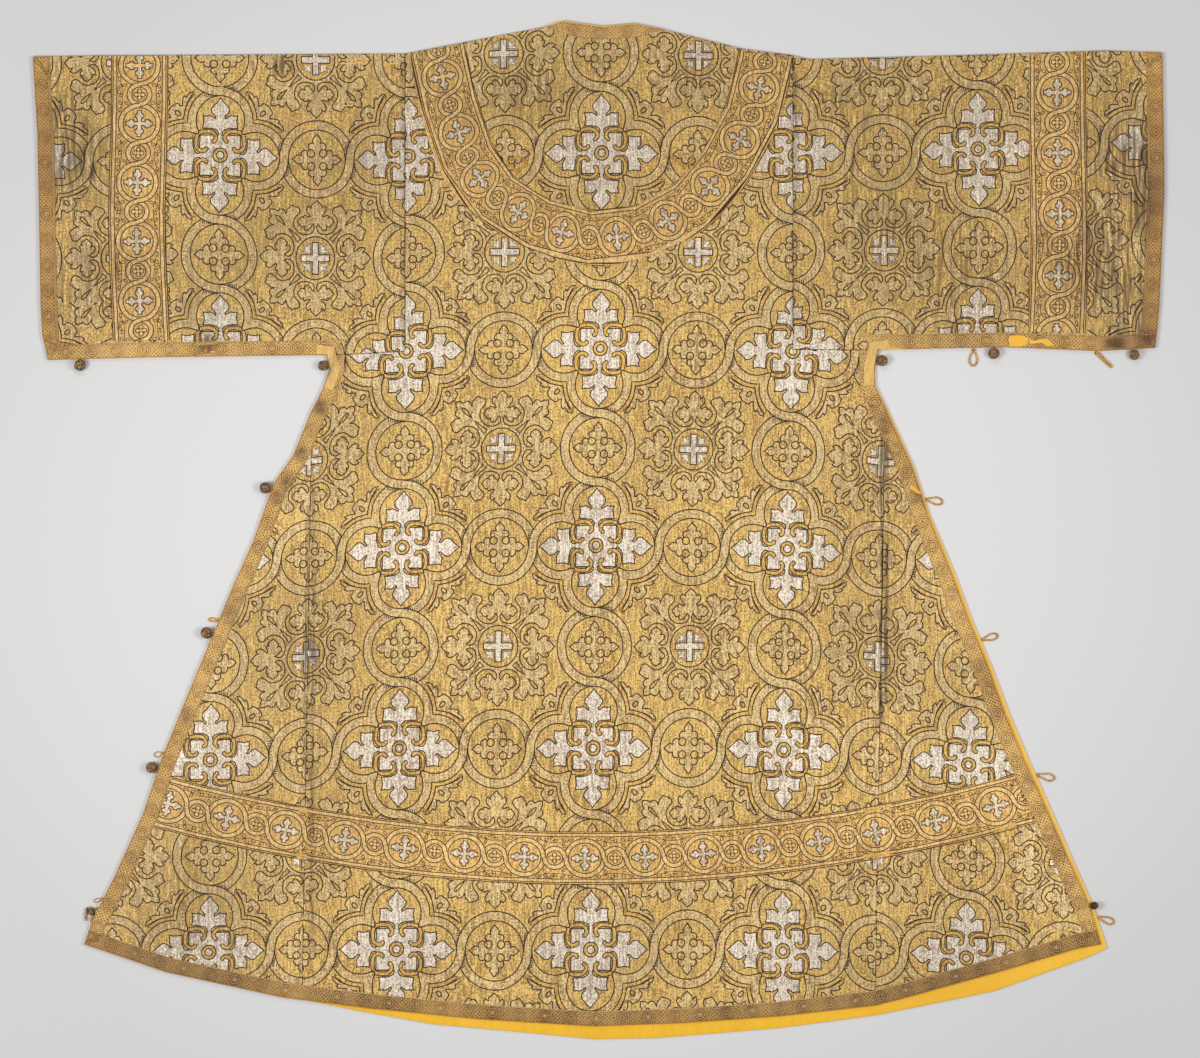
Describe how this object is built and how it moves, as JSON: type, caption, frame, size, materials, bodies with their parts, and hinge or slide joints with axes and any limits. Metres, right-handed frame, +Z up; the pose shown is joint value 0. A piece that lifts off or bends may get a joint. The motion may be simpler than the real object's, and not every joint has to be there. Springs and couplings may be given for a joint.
{
  "type": "sakkos",
  "caption": "T-shaped vestment of patterned gold brocade, laid flat front up, with side gores, bands, braided edges, ball buttons and cord loops.",
  "frame": {"origin": "centre of the garment's extent, on the surface that it lies on", "axes": "+Z up from the surface, +Y from hem to neck, +X to the side of the visible front that carries the loops"},
  "size_m": [1.4476, 1.3028, 0.0157],
  "materials": {
    "brocade": "gold metal-thread brocade with brown outlines and silver crosses, tarnished",
    "woven_band": "gold patterned woven band",
    "gold_galloon": "gold galloon with concentric rings",
    "plain_ribbon": "plain gold ribbon",
    "yellow_silk": "yellow silk",
    "wound_thread": "brown wound thread",
    "gold_cord": "twisted gold cord"
  },
  "bodies": {
    "root": {"front_body": "brocade", "front_gore_left": "brocade", "front_gore_right": "brocade", "front_sleeve_left": "brocade", "front_sleeve_right": "brocade", "back_body": "brocade", "back_gore_left": "brocade", "back_gore_right": "brocade", "back_sleeve_left": "brocade", "back_sleeve_right": "brocade", "lining": "yellow_silk", "collar_band": "woven_band", "hem_band": "woven_band", "sleeve_band_left": "woven_band", "sleeve_band_right": "woven_band", "neck_galloon": "gold_galloon", "cuff_galloon_left": "gold_galloon", "cuff_galloon_right": "gold_galloon", "underarm_galloon_left": "gold_galloon", "underarm_galloon_right": "gold_galloon", "side_galloon_left": "gold_galloon", "side_galloon_right": "gold_galloon", "hem_galloon": "gold_galloon", "armpit_ribbon_left": "plain_ribbon", "armpit_ribbon_right": "plain_ribbon", "button_left_sleeve": "wound_thread", "button_left_armpit": "wound_thread", "button_left_side_1": "wound_thread", "button_left_side_2": "wound_thread", "button_left_side_3": "wound_thread", "button_left_hem": "wound_thread", "button_right_armpit": "wound_thread", "button_right_sleeve_1": "wound_thread", "button_right_sleeve_2": "wound_thread", "button_right_hem": "wound_thread", "loop_right_sleeve_1": "gold_cord", "loop_right_sleeve_2": "gold_cord", "loop_right_side_1": "gold_cord", "loop_right_side_2": "gold_cord", "loop_right_side_3": "gold_cord", "loop_right_side_4": "gold_cord", "loop_left_side_1": "gold_cord", "loop_left_side_2": "gold_cord", "loop_left_hem": "gold_cord", "loop_collar_left": "gold_cord", "loop_collar_right": "gold_cord"}
  },
  "joints": []
}
